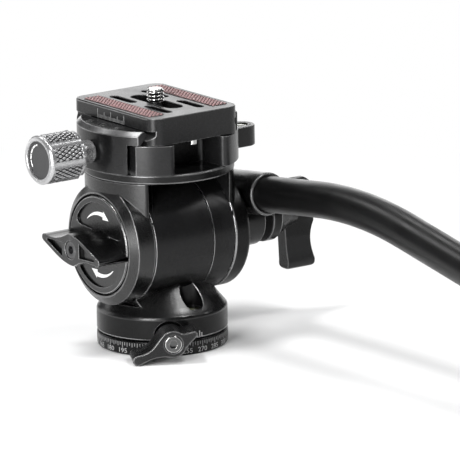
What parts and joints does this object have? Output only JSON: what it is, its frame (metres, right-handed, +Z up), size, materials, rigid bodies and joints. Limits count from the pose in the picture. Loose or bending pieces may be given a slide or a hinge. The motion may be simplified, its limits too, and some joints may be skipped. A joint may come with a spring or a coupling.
{
  "type": "fluid video head",
  "caption": "Two-axis fluid video head: scaled pan base with lock lever, damped tilt drum with wing knob, dovetail clamp with screw jaw and quick-release plate, and a bent pan handle.",
  "frame": {"origin": "on the pan axis at the underside of the base, which is the mouth of the tripod thread", "axes": "+Z up along the pan axis, +X along the tilt axis to the handle side, -Y towards the operator, where the handle points"},
  "size_m": [0.1198, 0.246, 0.0935],
  "materials": {
    "black_metal": "black anodised, satin, with bright edges",
    "drum_metal": "black anodised, satin",
    "plate_metal": "black anodised, satin",
    "tube_metal": "black, fine matt",
    "silver_metal": "bright turned and knurled",
    "bright_steel": "bright nickel",
    "screw_steel": "black oxide",
    "bearing_steel": "ground steel",
    "brass": "turned",
    "bearing_plastic": "natural bearing plastic",
    "seal_rubber": "black, smooth",
    "pad_rubber": "reddish brown, ribbed",
    "grip_rubber": "black, ribbed",
    "level_fluid": "yellow-green, clear",
    "cap_plastic": "dark grey, smooth"
  },
  "bodies": {
    "base": {"base_plate": "black_metal", "tripod_bush": "brass", "pan_spindle": "bearing_steel", "base_screws": "screw_steel"},
    "pan": {"pan_housing": "drum_metal", "drum_cap": "drum_metal", "cap_screws": "screw_steel", "pan_bush": "bearing_plastic", "thrust_washers": "bearing_plastic", "retaining_ring": "bearing_steel", "brake_shoe": "brass", "base_level_cup": "black_metal", "base_level_vial": "level_fluid", "tilt_bushes": "bearing_plastic", "shaft_seals": "seal_rubber", "damping_stators": "bearing_steel"},
    "pan_lock": {"pan_lever": "black_metal", "pan_lock_screw": "bright_steel"},
    "tilt": {"left_cheek": "black_metal", "right_cheek": "black_metal", "tilt_axle": "bearing_steel", "damping_rotors": "bearing_steel", "top_platform": "black_metal", "platform_screws": "screw_steel", "clamp_body": "black_metal", "clamp_bolts": "screw_steel", "side_level_cup": "bright_steel", "side_level_vial": "level_fluid"},
    "tilt_lock": {"tilt_knob": "black_metal", "tilt_knob_screw": "screw_steel", "tilt_lock_stud": "bearing_steel"},
    "jaw": {"moving_jaw": "black_metal", "jaw_screws": "bright_steel", "guide_pins": "bearing_steel"},
    "jaw_knob": {"clamp_knob": "silver_metal", "clamp_knob_cap": "cap_plastic", "clamp_screw": "bearing_steel"},
    "plate": {"release_plate": "plate_metal", "plate_pads": "pad_rubber", "stop_screws": "bright_steel"},
    "camera_bolt": {"camera_screw": "bright_steel"},
    "handle": {"handle_hub": "black_metal", "handle_tube": "tube_metal", "handle_spacer": "seal_rubber", "handle_washer": "bearing_plastic", "handle_set_screw": "screw_steel", "handle_grip": "grip_rubber", "handle_end_cap": "cap_plastic"},
    "handle_lock": {"handle_knob": "black_metal"}
  },
  "joints": [
    {"name": "pan", "type": "hinge", "parent": "base", "child": "pan", "pos_m": [0, 0, 0], "axis": [0, 0, 1], "continuous": true},
    {"name": "pan_lock_turn", "type": "hinge", "parent": "pan", "child": "pan_lock", "pos_m": [0, 0, 0.0075], "axis": [-0.4848, -0.8746, 0], "range_deg": [-60, 0]},
    {"name": "tilt", "type": "hinge", "parent": "pan", "child": "tilt", "pos_m": [0, 0, 0.04], "axis": [1, 0, 0], "range_deg": [-90, 60]},
    {"name": "tilt_lock_turn", "type": "hinge", "parent": "tilt", "child": "tilt_lock", "pos_m": [0, 0, 0.04], "axis": [1, 0, 0], "range_deg": [-180, 0]},
    {"name": "jaw_slide", "type": "slide", "parent": "tilt", "child": "jaw", "axis": [-1, 0, 0], "range_m": [0, 0.004]},
    {"name": "jaw_knob_turn", "type": "hinge", "parent": "jaw", "child": "jaw_knob", "pos_m": [0, 0, 0.0749], "axis": [-1, 0, 0], "range_deg": [0, 1440]},
    {"name": "plate_slide", "type": "slide", "parent": "tilt", "child": "plate", "axis": [0, 1, 0], "range_m": [-0.009, 0.006]},
    {"name": "camera_bolt_turn", "type": "hinge", "parent": "plate", "child": "camera_bolt", "pos_m": [0, 0.0014, 0.0887], "axis": [0, 0, 1], "continuous": true},
    {"name": "handle_angle", "type": "hinge", "parent": "tilt", "child": "handle", "pos_m": [0, 0, 0.04], "axis": [1, 0, 0], "range_deg": [-15, 75]},
    {"name": "handle_lock_turn", "type": "hinge", "parent": "tilt", "child": "handle_lock", "pos_m": [0, 0, 0.04], "axis": [1, 0, 0], "range_deg": [0, 270]}
  ],
  "couplings": [
    {"joint": "jaw_knob_turn", "follows": "jaw_slide", "rad_per_m": 6283.2}
  ]
}
